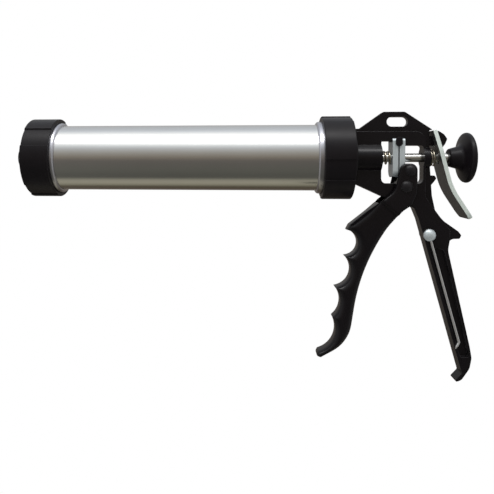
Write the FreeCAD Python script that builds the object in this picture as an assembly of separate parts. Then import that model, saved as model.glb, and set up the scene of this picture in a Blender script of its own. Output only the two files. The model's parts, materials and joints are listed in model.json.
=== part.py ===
import FreeCAD, Part
import math
import os

# Hand-operated caulking gun with a closed aluminium barrel and a cast handle.
# Millimetres. X runs along the barrel from the nozzle neck back to the knob,
# Z is up, and the barrel axis is Y = Z = 0 with X = 0 at the mouth of the neck.
# The frame, the trigger and all they carry are drawn from the barrel's rear end,
# so their X counts from there, and are moved back to it when they are saved.

Vector = FreeCAD.Vector
AXIS_X = Vector(1, 0, 0)
AXIS_Y = Vector(0, 1, 0)

# ---- fits -------------------------------------------------------------
RUNNING = 0.05          # radial clearance of a shaft in its bearing
LOOSE = 0.3             # clearance between bodies that move past each other

# ---- barrel, ferrules, collar, cap ---------------------------------------
BARREL_OD = 53.0
BARREL_WALL = 1.2
BARREL_FRONT = 18.2
BARREL_REAR = 261.0
FERRULE_WALL = 2.4
FRONT_FERRULE_LENGTH = 19.0
REAR_FERRULE_LENGTH = 16.5
GASKET = 1.0

CAP_FRONT = 11.4
CAP_LENGTH = 22.6
CAP_WALL = 3.0
CAP_LIP = 2.5
CAP_LIP_REACH = 6.9
CAP_FIRST_LOBE = -44.0

COLLAR_FRONT = -12.2
COLLAR_LENGTH = 23.3
COLLAR_WALL = 4.1
COLLAR_FIRST_LOBE = -3.0

LOBE_COUNT = 4
LOBE_SPAN = 61.0
LOBE_HEIGHT = 0.9

NECK_R = 9.1
NECK_THREAD_DEPTH = 0.6
NECK_BORE_R = 5.5
NECK_BASE = 8.6
ADAPTER_PLATE = 3.0

# ---- rod and piston -------------------------------------------------------
ROD_R = 3.5
ROD_THREAD_R = 3.0
ROD_FRONT = 24.5
ROD_REAR = 100.0
NUT_ACROSS = 10.0
NUT_HEIGHT = 4.5
WASHER_R = 10.0
WASHER_HEIGHT = 1.5
CUP_LENGTH = 12.0
CUP_FLOOR = 4.0
CUP_WALL = 3.0
BACKING_INSET = 2.3
BACKING_HEIGHT = 2.5
JAM_NUT_HEIGHT = 4.0

KNOB_FRONT = 87.4
KNOB_LENGTH = 17.6
KNOB_R = 19.8
KNOB_HUB_R = 6.9

# ---- frame casting --------------------------------------------------------
FLANGE_INSET = 0.5
FLANGE_LENGTH = 4.0
SPIGOT_R = 22.3
SPIGOT_REAR = 14.0
SPIGOT_RECESS_R = 18.0
SPIGOT_RECESS = 10.0
BOSS_WALL = 5.2
BOSS_REAR = 34.7
BUSH_WALL = 1.7
BUSH_LENGTH = 12.4

WEB_HALF = 2.8          # half thickness of the thin plate
RIM_HALF = 5.3          # half thickness of the raised border
BEAM_TOP = 20.8
BEAM_BOTTOM = 13.1
REAR_WALL_FRONT = 67.2
REAR_WALL_REAR = 72.4
RIM_REAR = 68.9
WINDOW_BOTTOM = -20.5
REAR_BOSS_WALL = 1.5
REAR_SEAT = 1.0

HANGER_FRONT = 36.6
HANGER_REAR = 53.3
HANGER_TOP = 36.5
HANG_SLOT_LENGTH = 16.4
HANG_SLOT_HEIGHT = 7.7
HANG_SLOT_CENTRE = (47.5, 28.6)

STOP_PAD_BOTTOM = 9.6
PIVOT_BOSS_R = 6.7

GRIP_FRONT_TOP = (64.1, -49.0)
GRIP_FRONT_BOTTOM = (97.8, -170.0)
GRIP_REAR_TOP = (86.5, -73.0)
GRIP_HEEL = (103.5, -148.0)
GRIP_BOTTOM_Z = -177.4
POCKET_FLOOR_HALF = 2.7
POCKET_RIM = 2.2
SPUR_TIP = (97.5, -61.3)

# ---- trigger --------------------------------------------------------------
PIVOT = (53.0, -22.6)
PUSH = (56.1, -10.0)
PIVOT_SHAFT_R = 3.0
PUSH_SHAFT_R = 2.0
PUSH_ROLLER_R = 3.2
RIVET_HEAD_R = 4.6
RIVET_HEAD_HEIGHT = 2.4
CHEEK_INNER = 8.2
TRIGGER_HALF = 11.0
TRIGGER_GRIP_HALF = 9.4
TRIGGER_SLOT_R = 24.5
HEAD_R = 5.4
RIDGES = [(8.2, -57.6), (6.5, -78.6), (-1.0, -103.6), (-2.9, -127.8), (-14.2, -155.6)]
GROOVE_DEPTHS = [9.6, 8.4, 5.2, 7.3]

# ---- drive ----------------------------------------------------------------
PLATE_THICKNESS = 4.25
PLATE_GAP = 1.0
PLATE_HALF = 7.4
PLATE_TOP = 15.4
PLATE_BOTTOM = -15.5
PLATE_CORNER_R = 2.5
PLATE_FOOT_R = 5.5
SPACER_HALF_LENGTH = 8.6
DRIVE_SPRING_GAP = 0.5       # between the rod and the coil
DRIVE_SPRING_WIRE_R = 0.75
DRIVE_SPRING_TURNS = 6

# ---- release lever -----------------------------------------------------------
LEVER_TOP = (73.2, 21.0)
LEVER_BEND = (85.2, -24.4)
LEVER_END = (100.6, -48.2)
LEVER_BEND_R = 50.0
LEVER_THICKNESS = 3.0
LEVER_HALF = 11.4
LEVER_END_R = 7.0
EAR_TOP = 17.0
EAR_BOTTOM = 9.6
LEVER_SLOT_PLAY = 1.5
RELEASE_SPRING_GAP = 1.9     # between the rod and the coil
RELEASE_SPRING_WIRE_R = 0.7
RELEASE_SPRING_TURNS = 2

# ---- piercing wire -----------------------------------------------------------
WIRE_R = 0.9
WIRE_PIVOT = (71.7, -60.8)
WIRE_TIP = (95.0, -145.0)
WIRE_EYE_R = 3.7
WIRE_SHAFT_R = 2.4
WIRE_HEAD_R = 4.8

# ---- places that follow from the sizes above -----------------------------------
BARREL_R = BARREL_OD / 2
BARREL_BORE_R = BARREL_R - BARREL_WALL
FERRULE_R = BARREL_R + FERRULE_WALL
THREAD_BORE_R = FERRULE_R + LOOSE
CAP_R = THREAD_BORE_R + CAP_WALL
CAP_LIP_R = FERRULE_R - CAP_LIP_REACH
COLLAR_R = THREAD_BORE_R + COLLAR_WALL
FLANGE_R = FERRULE_R - FLANGE_INSET
BACKING_R = BARREL_BORE_R - BACKING_INSET
DRIVE_SPRING_R = ROD_R + DRIVE_SPRING_GAP + DRIVE_SPRING_WIRE_R
SPRING_SEAT_R = DRIVE_SPRING_R + DRIVE_SPRING_WIRE_R + 2 * LOOSE
BOSS_R = SPRING_SEAT_R + BOSS_WALL
BUSH_R = ROD_R + BUSH_WALL
RELEASE_SPRING_R = ROD_R + RELEASE_SPRING_GAP + RELEASE_SPRING_WIRE_R
RELEASE_SEAT_R = RELEASE_SPRING_R + RELEASE_SPRING_WIRE_R + LOOSE
REAR_BOSS_R = RELEASE_SEAT_R + REAR_BOSS_WALL
CAP_REAR = CAP_FRONT + CAP_LENGTH
COLLAR_REAR = COLLAR_FRONT + COLLAR_LENGTH
ADAPTER_REAR = BARREL_FRONT - GASKET
ADAPTER_FRONT = ADAPTER_REAR - ADAPTER_PLATE
FLANGE_FRONT = GASKET
FLANGE_REAR = FLANGE_FRONT + FLANGE_LENGTH
SPIGOT_FLOOR = FLANGE_FRONT + SPIGOT_RECESS
SPRING_FLOOR = SPIGOT_FLOOR + BUSH_LENGTH
WIRE_Y = -(RIM_HALF + LOOSE + WIRE_R)
CUP_FRONT = ROD_FRONT + NUT_HEIGHT + WASHER_HEIGHT + 0.5
CUP_REAR = CUP_FRONT + CUP_LENGTH
BACKING_REAR = CUP_REAR + BACKING_HEIGHT
ROD_SHOULDER = BACKING_REAR + JAM_NUT_HEIGHT
REAR_PLATE_REAR = PUSH[0] - PUSH_ROLLER_R - LOOSE
REAR_PLATE_FRONT = REAR_PLATE_REAR - PLATE_THICKNESS
FRONT_PLATE_REAR = REAR_PLATE_FRONT - PLATE_GAP
FRONT_PLATE_FRONT = FRONT_PLATE_REAR - PLATE_THICKNESS
STOP_PAD_FRONT = REAR_PLATE_REAR + LOOSE


# ---- shape helpers --------------------------------------------------------
def rounded_corner(before, corner, after, radius):
    """The points of one corner: itself, or start, middle and end of its arc."""
    if radius == 0:
        return [corner]
    towards_before = (before - corner).normalize()
    towards_after = (after - corner).normalize()
    half_angle = towards_before.getAngle(towards_after) / 2
    setback = radius / math.tan(half_angle)
    bisector = (towards_before + towards_after).normalize()
    centre = corner + bisector * (radius / math.sin(half_angle))
    return [
        corner + towards_before * setback,
        centre - bisector * radius,
        corner + towards_after * setback,
    ]


def outline(corners):
    """Closed wire in the XZ plane. A corner is (x, z) or (x, z, radius)."""
    points = [Vector(corner[0], 0, corner[1]) for corner in corners]
    stretches = []
    for index, corner in enumerate(corners):
        radius = corner[2] if len(corner) > 2 else 0
        before = points[index - 1]
        after = points[(index + 1) % len(points)]
        stretches.append(rounded_corner(before, points[index], after, radius))
    edges = []
    for index, stretch in enumerate(stretches):
        following = stretches[(index + 1) % len(stretches)]
        if len(stretch) == 3:
            edges.append(Part.Arc(*stretch).toShape())
        if stretch[-1].distanceToPoint(following[0]) > 1e-6:
            edges.append(Part.makeLine(stretch[-1], following[0]))
    return Part.Wire(edges)


def slab(corners, y0, y1):
    """The outline as a plate from y0 to y1."""
    face = Part.Face(outline(corners))
    face.translate(Vector(0, y0, 0))
    return face.extrude(Vector(0, y1 - y0, 0))


def plate(corners, half):
    return slab(corners, -half, half)


def lathe(corners):
    """Solid of revolution about the barrel axis. A corner is (x, r) or (x, r, radius)."""
    return Part.Face(outline(corners)).revolve(Vector(0, 0, 0), AXIS_X, 360)


def rod_along_x(radius, x0, x1):
    return Part.makeCylinder(radius, x1 - x0, Vector(x0, 0, 0), AXIS_X)


def ring_along_x(outer, inner, x0, x1):
    return rod_along_x(outer, x0, x1).cut(rod_along_x(inner, x0 - 1, x1 + 1))


def rod_along_y(radius, centre, y0, y1):
    return Part.makeCylinder(radius, y1 - y0, Vector(centre[0], y0, centre[1]), AXIS_Y)


def box(x0, x1, y0, y1, z0, z1):
    return Part.makeBox(x1 - x0, y1 - y0, z1 - z0, Vector(x0, y0, z0))


def sector_along_x(radius, x0, x1, start, span):
    """Pie slice about the barrel axis. Angles rise from -Y towards +Z."""
    def rim(angle):
        turn = math.radians(angle)
        return Vector(x0, -radius * math.cos(turn), radius * math.sin(turn))
    centre = Vector(x0, 0, 0)
    arc = Part.Arc(rim(start), rim(start + span / 2), rim(start + span)).toShape()
    sides = [Part.makeLine(centre, rim(start)), Part.makeLine(rim(start + span), centre)]
    face = Part.Face(Part.Wire([sides[0], arc, sides[1]]))
    return face.extrude(Vector(x1 - x0, 0, 0))


def hexagon(across, x0, x1):
    corner = across / math.sqrt(3)
    turns = [math.radians(60 * step) for step in range(7)]
    points = [Vector(x0, corner * math.cos(turn), corner * math.sin(turn)) for turn in turns]
    return Part.Face(Part.makePolygon(points)).extrude(Vector(x1 - x0, 0, 0))


def coil_along_x(radius, wire_radius, x0, x1, turns):
    """Open helical spring that fills the stretch from x0 to x1."""
    height = x1 - x0 - 2 * wire_radius
    path = Part.Wire(Part.makeHelix(height / turns, height, radius).Edges)
    section = Part.Wire(Part.makeCircle(wire_radius, Vector(radius, 0, 0), AXIS_Y))
    spring = path.makePipeShell([section], True, True)
    spring.rotate(Vector(0, 0, 0), AXIS_Y, 90)
    spring.translate(Vector(x0 + wire_radius, 0, 0))
    return spring


def domed_head(centre, y_seat, direction, radius, height):
    """Rivet head standing off a side face, pointing along direction * Y."""
    sphere_r = (radius * radius + height * height) / (2 * height)
    middle = Vector(centre[0], y_seat + direction * (height - sphere_r), centre[1])
    ball = Part.makeSphere(sphere_r, middle)
    end = y_seat + direction * height
    return ball.common(rod_along_y(radius, centre, min(y_seat, end), max(y_seat, end)))


def joined(pieces):
    whole = pieces[0]
    for piece in pieces[1:]:
        whole = whole.fuse(piece)
    return whole.removeSplitter()


def lobed_ring(outer_r, bore_r, x0, x1, first_lobe):
    """Hand ring with raised grip lobes on a slightly smaller body."""
    body_r = outer_r - LOBE_HEIGHT
    body = lathe([(x0, bore_r), (x0, body_r, 1.2), (x1, body_r, 0.6), (x1, bore_r)])
    band = lathe([(x0, bore_r), (x0, outer_r, 1.2), (x1, outer_r, 0.6), (x1, bore_r)])
    pieces = [body]
    for index in range(LOBE_COUNT):
        start = first_lobe + index * 360 / LOBE_COUNT
        pieces.append(band.common(sector_along_x(outer_r + 5, x0 - 1, x1 + 1, start, LOBE_SPAN)))
    return joined(pieces)


# ---- barrel group ---------------------------------------------------------
def barrel_tube():
    return ring_along_x(BARREL_R, BARREL_BORE_R, BARREL_FRONT, BARREL_REAR)


def front_ferrule():
    rear = BARREL_FRONT + FRONT_FERRULE_LENGTH
    return lathe([
        (BARREL_FRONT, BARREL_R),
        (BARREL_FRONT, FERRULE_R, 0.5),
        (rear, FERRULE_R, FERRULE_R - BARREL_R - 0.2),
        (rear, BARREL_R),
    ])


def rear_ferrule():
    front = BARREL_REAR - REAR_FERRULE_LENGTH
    return lathe([
        (front, BARREL_R),
        (front, FERRULE_R, FERRULE_R - BARREL_R - 0.2),
        (BARREL_REAR, FERRULE_R, 0.5),
        (BARREL_REAR, BARREL_R),
    ])


def barrel_gasket():
    return ring_along_x(FLANGE_R, BARREL_BORE_R, 0, FLANGE_FRONT)


def rear_collar():
    ring = lobed_ring(COLLAR_R, SPIGOT_R + LOOSE, COLLAR_FRONT, COLLAR_REAR, COLLAR_FIRST_LOBE)
    return ring.cut(rod_along_x(THREAD_BORE_R, COLLAR_FRONT - 1, FLANGE_REAR))


def front_cap():
    ring = lobed_ring(CAP_R, CAP_LIP_R, CAP_FRONT, CAP_REAR, CAP_FIRST_LOBE)
    return ring.cut(rod_along_x(THREAD_BORE_R, CAP_FRONT + CAP_LIP, CAP_REAR + 1))


def nozzle_adapter():
    """Domed disc with a threaded neck, held against the barrel by the front cap."""
    boss_r = CAP_LIP_R - 2 * LOOSE
    plate_r = FERRULE_R - LOOSE
    turns = int((NECK_BASE - 2) / 2)
    profile = [(0, NECK_BORE_R), (0, NECK_R - NECK_THREAD_DEPTH)]
    for turn in range(turns):
        crest = 1.0 + 2.0 * turn
        profile.append((crest, NECK_R))
        profile.append((crest + 0.6, NECK_R))
        profile.append((crest + 1.6, NECK_R - NECK_THREAD_DEPTH))
    profile += [
        (NECK_BASE, NECK_R - NECK_THREAD_DEPTH),
        (NECK_BASE, NECK_R + 1.6, 0.6),
        (CAP_FRONT, boss_r - 3),
        (CAP_FRONT, boss_r, 0.4),
        (ADAPTER_FRONT, boss_r),
        (ADAPTER_FRONT, plate_r),
        (ADAPTER_REAR, plate_r),
        (ADAPTER_REAR, boss_r - 2),
        (NECK_BASE + 3, NECK_BORE_R),
    ]
    return lathe(profile)


def adapter_gasket():
    return ring_along_x(FERRULE_R - LOOSE, BARREL_BORE_R, ADAPTER_REAR, BARREL_FRONT)


# ---- frame ----------------------------------------------------------------
def grip_rear_line():
    """Rear edge of the handle from the spur to the heel and round to the toe."""
    return [
        (87.9, -64.4, 5),
        (*GRIP_REAR_TOP, 14),
        (*GRIP_HEEL, 20),
        (105.2, -157.5, 9),
        (103.7, -166.0, 9),
        (97.4, GRIP_BOTTOM_Z + 1.8, 6),
        (91.2, GRIP_BOTTOM_Z, 0.9),
        (*GRIP_FRONT_BOTTOM, 1.0),
    ]


def grip_front_line():
    """Front edge of the handle up to the crotch and along the lower strut."""
    return [
        (*GRIP_FRONT_TOP, 14),
        (60.2, -39.4, 3),
        (50.0, -37.2),
        (33.6, -29.8),
        (SPIGOT_REAR + 3, -SPIGOT_R + 0.2),
    ]


def thin_web():
    return plate(
        [
            (SPIGOT_FLOOR + 2, SPIGOT_R + 0.8),
            (SPIGOT_REAR + 4, SPIGOT_R + 0.9, 1.5),
            (HANGER_FRONT, HANGER_TOP, 3),
            (HANGER_REAR, HANGER_TOP, 3),
            (REAR_WALL_REAR + 2.0, 22.4, 0.2),
            (REAR_WALL_REAR + 1.8, 22.0),
            (REAR_WALL_REAR, 22.0),
            (REAR_WALL_REAR, 0),
            (74.6, -30.0, 4),
            (77.4, -42.8, 8),
            (84.0, -50.2, 10),
            (SPUR_TIP[0] - 2.4, SPUR_TIP[1] + 3.2, 2.5),
            (*SPUR_TIP, 1.2),
            (SPUR_TIP[0] - 1.4, SPUR_TIP[1] - 2.7, 1.2),
        ]
        + grip_rear_line()
        + grip_front_line()
        + [(SPIGOT_FLOOR + 2, -20.6)],
        WEB_HALF,
    )


def raised_rim():
    return plate(
        [
            (SPIGOT_FLOOR + 2, BEAM_TOP),
            (RIM_REAR, BEAM_TOP, 8),
            (RIM_REAR, -31, 8),
            (88.0, -57.4, 1.5),
        ]
        + grip_rear_line()
        + grip_front_line()
        + [(SPIGOT_FLOOR + 2, -20.6)],
        RIM_HALF,
    )


def window_cut():
    """The opening that the drive plates work in, with the step that backs them."""
    return plate(
        [
            (BOSS_REAR, BEAM_BOTTOM, 1),
            (STOP_PAD_FRONT, BEAM_BOTTOM),
            (STOP_PAD_FRONT, STOP_PAD_BOTTOM),
            (REAR_WALL_FRONT, STOP_PAD_BOTTOM, 2),
            (REAR_WALL_FRONT, WINDOW_BOTTOM, 4),
            (BOSS_REAR, WINDOW_BOTTOM, 4),
        ],
        TRIGGER_HALF * 2,
    )


def hang_slot_cut():
    x, z = HANG_SLOT_CENTRE
    end = HANG_SLOT_HEIGHT / 2
    reach = HANG_SLOT_LENGTH / 2
    return plate(
        [
            (x - reach, z + end, end * 0.98),
            (x + reach, z + end, end * 0.98),
            (x + reach, z - end, end * 0.98),
            (x - reach, z - end, end * 0.98),
        ],
        WEB_HALF + 1,
    )


def grip_pocket():
    """Shallow pocket of each side of the handle, inside its rim."""
    top = WIRE_PIVOT[1] - 9
    bottom = GRIP_HEEL[1] - 9

    def on_edge(start, end, z):
        return start[0] + (end[0] - start[0]) * (z - start[1]) / (end[1] - start[1])

    def front(z):
        return on_edge(GRIP_FRONT_TOP, GRIP_FRONT_BOTTOM, z) + POCKET_RIM

    def rear(z):
        return on_edge(GRIP_REAR_TOP, GRIP_HEEL, z) - POCKET_RIM

    corners = [
        (front(top), top, 2),
        (rear(top), top - 3, 2),
        (rear(bottom), bottom, 1.2),
        (front(bottom), bottom, 1.2),
    ]
    near = slab(corners, -RIM_HALF - 1, -POCKET_FLOOR_HALF)
    far = slab(corners, POCKET_FLOOR_HALF, RIM_HALF + 1)
    return near.fuse(far)


def lever_ear():
    """Lug that passes through the release lever's window and holds its top."""
    root = REAR_WALL_FRONT + 2
    return plate(
        [
            (root, EAR_TOP),
            (78.2, EAR_TOP),
            (77.3, 21.4, 0.8),
            (79.6, 21.2, 2),
            (83.6, 18.6, 2),
            (86.2, 14.9, 1.4),
            (84.6, 10.9, 1.2),
            (82.0, 7.4, 0.8),
            (80.3, EAR_BOTTOM),
            (root, EAR_BOTTOM),
        ],
        WEB_HALF - 0.2,
    )


def lever_stop():
    """Lug that ends the release lever's travel."""
    root = REAR_WALL_FRONT + 2
    return plate(
        [
            (root, -13.9),
            (76.6, -14.1, 1.0),
            (78.0, -16.2, 0.8),
            (76.2, -18.9, 1.0),
            (73.2, -22.6),
            (root, -22.6),
        ],
        WEB_HALF,
    )


def frame_casting():
    barrel_seat = lathe([
        (FLANGE_FRONT, 0),
        (FLANGE_FRONT, FLANGE_R),
        (FLANGE_REAR, FLANGE_R),
        (FLANGE_REAR, SPIGOT_R),
        (SPIGOT_REAR, SPIGOT_R, 1.2),
        (SPIGOT_REAR, 0),
    ])
    border = raised_rim().cut(window_cut())
    sheet = thin_web().cut(window_cut()).cut(hang_slot_cut())
    body = joined([
        sheet,
        border,
        barrel_seat,
        rod_along_x(BOSS_R, SPIGOT_FLOOR, BOSS_REAR),
        rod_along_x(REAR_BOSS_R, REAR_WALL_FRONT, REAR_WALL_REAR),
        rod_along_y(PIVOT_BOSS_R, PIVOT, -(CHEEK_INNER - LOOSE), CHEEK_INNER - LOOSE),
        rod_along_y(WIRE_HEAD_R - 0.4, WIRE_PIVOT, -RIM_HALF, RIM_HALF),
        lever_ear(),
        lever_stop(),
    ])
    bores = [
        rod_along_x(SPIGOT_RECESS_R, FLANGE_FRONT - 1, SPIGOT_FLOOR),
        rod_along_x(BUSH_R, SPIGOT_FLOOR - 1, SPRING_FLOOR + 1),
        rod_along_x(SPRING_SEAT_R, SPRING_FLOOR, BOSS_REAR + 1),
        rod_along_x(ROD_R + LOOSE, REAR_WALL_FRONT - 1, REAR_WALL_REAR + 1),
        rod_along_x(RELEASE_SEAT_R, REAR_WALL_REAR - REAR_SEAT, REAR_WALL_REAR + 1),
        rod_along_y(PIVOT_SHAFT_R, PIVOT, -TRIGGER_HALF, TRIGGER_HALF),
        rod_along_y(WIRE_SHAFT_R, WIRE_PIVOT, -RIM_HALF - 1, RIM_HALF + 1),
        grip_pocket(),
    ]
    for bore in bores:
        body = body.cut(bore)
    return body


def rod_guide_bush():
    return ring_along_x(BUSH_R, ROD_R + RUNNING, SPIGOT_FLOOR, SPRING_FLOOR)


def pivot_rivet():
    """Fixed pin that the trigger turns on, with a domed head outside each cheek."""
    seat = TRIGGER_HALF + LOOSE
    return joined([
        rod_along_y(PIVOT_SHAFT_R, PIVOT, -seat, seat),
        domed_head(PIVOT, -seat, -1, RIVET_HEAD_R, RIVET_HEAD_HEIGHT),
        domed_head(PIVOT, seat, 1, RIVET_HEAD_R, RIVET_HEAD_HEIGHT),
    ])


# ---- trigger --------------------------------------------------------------
def finger_grooves():
    """One cylinder for each finger, through two ridges and as deep as stated."""
    cuts = []
    for upper, lower, depth in zip(RIDGES[:-1], RIDGES[1:], GROOVE_DEPTHS):
        dx = lower[0] - upper[0]
        dz = lower[1] - upper[1]
        chord = math.hypot(dx, dz)
        radius = (chord * chord / 4 + depth * depth) / (2 * depth)
        outward = (dz / chord, -dx / chord)
        centre = (
            (upper[0] + lower[0]) / 2 + outward[0] * (radius - depth),
            (upper[1] + lower[1]) / 2 + outward[1] * (radius - depth),
        )
        cuts.append(rod_along_y(radius, centre, -2 * TRIGGER_HALF, 2 * TRIGGER_HALF))
    return joined(cuts)


def trigger_outline():
    head_left = PUSH[0] - HEAD_R - 1.6
    head_right = PUSH[0] + HEAD_R
    head_top = PUSH[1] + HEAD_R
    front = [(ridge[0], ridge[1]) for ridge in RIDGES]
    return [
        (head_right, head_top, HEAD_R - 0.1),
        (head_left, head_top, HEAD_R - 0.1),
        (PIVOT[0] - 9.0, PIVOT[1] - 3.9, 14),
        (10.4, -53.4, 2),
    ] + front + [
        (-15.6, -159.2, 1.8),
        (-12.2, -160.8, 2),
        (10.1, -147.9, 30),
        (18.0, -96.1, 150),
        (36.0, -60.5, 150),
        (50.0, -42.4, 12),
        (57.4, -37.2, 4),
        (head_right, -27.5, 9),
    ]


def trigger_lever():
    """Squeezed lever: two cheeks that straddle the frame and a finger grip."""
    body = plate(trigger_outline(), TRIGGER_HALF).cut(finger_grooves())
    waist = [
        (48.5, -46.0),
        (30.0, -30.0),
        (-21.0, -50.0),
        (-21.0, -175.0),
        (39.0, -175.0),
    ]
    body = body.cut(slab(waist, TRIGGER_GRIP_HALF, TRIGGER_HALF + 1))
    body = body.cut(slab(waist, -TRIGGER_HALF - 1, -TRIGGER_GRIP_HALF))
    gap = rod_along_y(TRIGGER_SLOT_R, PIVOT, -CHEEK_INNER, CHEEK_INNER)
    body = body.cut(gap)
    body = body.cut(rod_along_y(PIVOT_SHAFT_R + RUNNING, PIVOT, -TRIGGER_HALF - 1, TRIGGER_HALF + 1))
    return body.cut(rod_along_y(PUSH_SHAFT_R, PUSH, -TRIGGER_HALF - 1, TRIGGER_HALF + 1))


def push_pin():
    return joined([
        rod_along_y(PUSH_SHAFT_R, PUSH, -TRIGGER_HALF, TRIGGER_HALF),
        domed_head(PUSH, -TRIGGER_HALF, -1, RIVET_HEAD_R, RIVET_HEAD_HEIGHT),
        domed_head(PUSH, TRIGGER_HALF, 1, RIVET_HEAD_R, RIVET_HEAD_HEIGHT),
    ])


def push_roller():
    half = CHEEK_INNER - LOOSE / 2
    sleeve = rod_along_y(PUSH_ROLLER_R, PUSH, -half, half)
    return sleeve.cut(rod_along_y(PUSH_SHAFT_R, PUSH, -half - 1, half + 1))


# ---- drive plates ---------------------------------------------------------
def drive_plate(x0):
    """Hardened plate that grips the rod. Its top ears run beside the beam."""
    x1 = x0 + PLATE_THICKNESS
    blank = box(x0, x1, -PLATE_HALF, PLATE_HALF, PLATE_BOTTOM, PLATE_TOP)
    along_x = [
        edge for edge in blank.Edges
        if abs(edge.tangentAt(edge.FirstParameter).x) > 0.99
    ]
    upper = [edge for edge in along_x if edge.CenterOfMass.z > 0]
    blank = blank.makeFillet(PLATE_CORNER_R, upper)
    lower = [
        edge for edge in blank.Edges
        if abs(edge.tangentAt(edge.FirstParameter).x) > 0.99
        and edge.CenterOfMass.z < PLATE_BOTTOM + 0.1
    ]
    blank = blank.makeFillet(PLATE_FOOT_R, lower)
    ear_gap = RIM_HALF + LOOSE
    blank = blank.cut(box(x0 - 1, x1 + 1, -ear_gap, ear_gap, BEAM_BOTTOM - 0.6, PLATE_TOP + 1))
    return blank.cut(rod_along_x(ROD_R + LOOSE, x0 - 1, x1 + 1))


def plate_spacer():
    """Plastic clip that keeps the two plates apart and level."""
    middle = (FRONT_PLATE_REAR + REAR_PLATE_FRONT) / 2
    leaf_half = PLATE_GAP / 2 - 0.05
    bottom = PLATE_TOP - 6.4
    top = PLATE_TOP + 0.8
    pieces = []
    for side in (-1, 1):
        inner = side * (PLATE_HALF + 0.05)
        outer = side * SPACER_HALF_LENGTH
        corners = [
            (middle - 2.6, top, 2.4),
            (middle + 2.6, top, 2.4),
            (middle + 2.6, bottom, 2.4),
            (middle - 2.6, bottom, 2.4),
        ]
        pieces.append(slab(corners, min(inner, outer), max(inner, outer)))
    pieces.append(box(middle - leaf_half, middle + leaf_half,
                      -PLATE_HALF - 0.1, PLATE_HALF + 0.1, bottom + 0.5, BEAM_BOTTOM - 0.6))
    return joined(pieces)


def drive_spring():
    return coil_along_x(
        DRIVE_SPRING_R, DRIVE_SPRING_WIRE_R, SPRING_FLOOR, FRONT_PLATE_FRONT, DRIVE_SPRING_TURNS)


# ---- rod and piston -------------------------------------------------------
def piston_rod():
    return lathe([
        (ROD_FRONT, 0),
        (ROD_FRONT, ROD_THREAD_R, 0.6),
        (ROD_SHOULDER, ROD_THREAD_R),
        (ROD_SHOULDER, ROD_R),
        (BARREL_REAR + ROD_REAR, ROD_R, 0.6),
        (BARREL_REAR + ROD_REAR, 0),
    ])


def piston_nut():
    x0 = ROD_FRONT + 0.5
    nut = hexagon(NUT_ACROSS, x0, x0 + NUT_HEIGHT)
    return nut.cut(rod_along_x(ROD_THREAD_R, x0 - 1, x0 + NUT_HEIGHT + 1))


def piston_washer():
    return ring_along_x(WASHER_R, ROD_THREAD_R, CUP_FRONT - WASHER_HEIGHT, CUP_FRONT)


def piston_cup():
    """Sealing cup with a skirt that wipes the bore."""
    outer = BARREL_BORE_R - LOOSE
    floor = CUP_REAR - CUP_FLOOR
    return lathe([
        (CUP_FRONT, ROD_THREAD_R),
        (CUP_FRONT, WASHER_R + 2),
        (floor, WASHER_R + 4),
        (floor, outer - CUP_WALL),
        (CUP_FRONT, outer - 1),
        (CUP_FRONT, outer, 0.4),
        (CUP_REAR, outer, 1.5),
        (CUP_REAR, ROD_THREAD_R),
    ])


def piston_backing_plate():
    return ring_along_x(BACKING_R, ROD_THREAD_R, CUP_REAR, BACKING_REAR)


def piston_jam_nut():
    nut = hexagon(NUT_ACROSS + 3, BACKING_REAR, ROD_SHOULDER)
    return nut.cut(rod_along_x(ROD_THREAD_R, BACKING_REAR - 1, ROD_SHOULDER + 1))


def rod_knob():
    """Mushroom knob, screwed on the end of the rod."""
    rear = KNOB_FRONT + KNOB_LENGTH
    knob = lathe([
        (KNOB_FRONT, 0),
        (KNOB_FRONT, KNOB_HUB_R, 1.5),
        (KNOB_FRONT + 9.2, KNOB_HUB_R + 2.7, 5),
        (KNOB_FRONT + 12.2, KNOB_R, 2.2),
        (rear - 2.0, KNOB_R, 1.8),
        (rear, KNOB_R - 8, 6),
        (rear, 0),
    ])
    return knob.cut(rod_along_x(ROD_R, KNOB_FRONT - 1, ROD_REAR))


# ---- release lever ----------------------------------------------------------
def lever_strip():
    """Bent strip seen from the side, as thick as the lever plate."""
    top = Vector(LEVER_TOP[0], 0, LEVER_TOP[1])
    bend = Vector(LEVER_BEND[0], 0, LEVER_BEND[1])
    end = Vector(LEVER_END[0], 0, LEVER_END[1])
    upper = (bend - top).normalize()
    lower = (end - bend).normalize()
    upper_out = Vector(-upper.z, 0, upper.x)
    lower_out = Vector(-lower.z, 0, lower.x)
    mitre = (upper_out + lower_out) * (1 / (1 + upper_out.dot(lower_out)))
    back_top = top + upper_out * LEVER_THICKNESS
    back_bend = bend + mitre * LEVER_THICKNESS
    back_end = end + lower_out * LEVER_THICKNESS
    return plate(
        [
            (top.x, top.z, 0.8),
            (back_top.x, back_top.z, 0.8),
            (back_bend.x, back_bend.z, LEVER_BEND_R),
            (back_end.x, back_end.z, 0.8),
            (end.x, end.z, 0.8),
            (bend.x, bend.z, LEVER_BEND_R + LEVER_THICKNESS),
        ],
        LEVER_HALF,
    )


def lever_silhouette():
    """Front view of the lever: narrower top and a round thumb end."""
    low = LEVER_END[1] - 1
    high = LEVER_TOP[1] + 3
    shoulder = EAR_BOTTOM - 4
    top_half = LEVER_HALF - 2.4
    corners = [
        (-top_half, high, 2),
        (top_half, high, 2),
        (LEVER_HALF, shoulder, 8),
        (LEVER_HALF, low, LEVER_END_R),
        (-LEVER_HALF, low, LEVER_END_R),
        (-LEVER_HALF, shoulder, 8),
    ]
    blank = Part.Face(outline(corners)).extrude(Vector(0, 60, 0))
    blank.rotate(Vector(0, 0, 0), Vector(0, 0, 1), -90)
    blank.translate(Vector(LEVER_TOP[0] - 10, 0, 0))
    return blank


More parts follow.
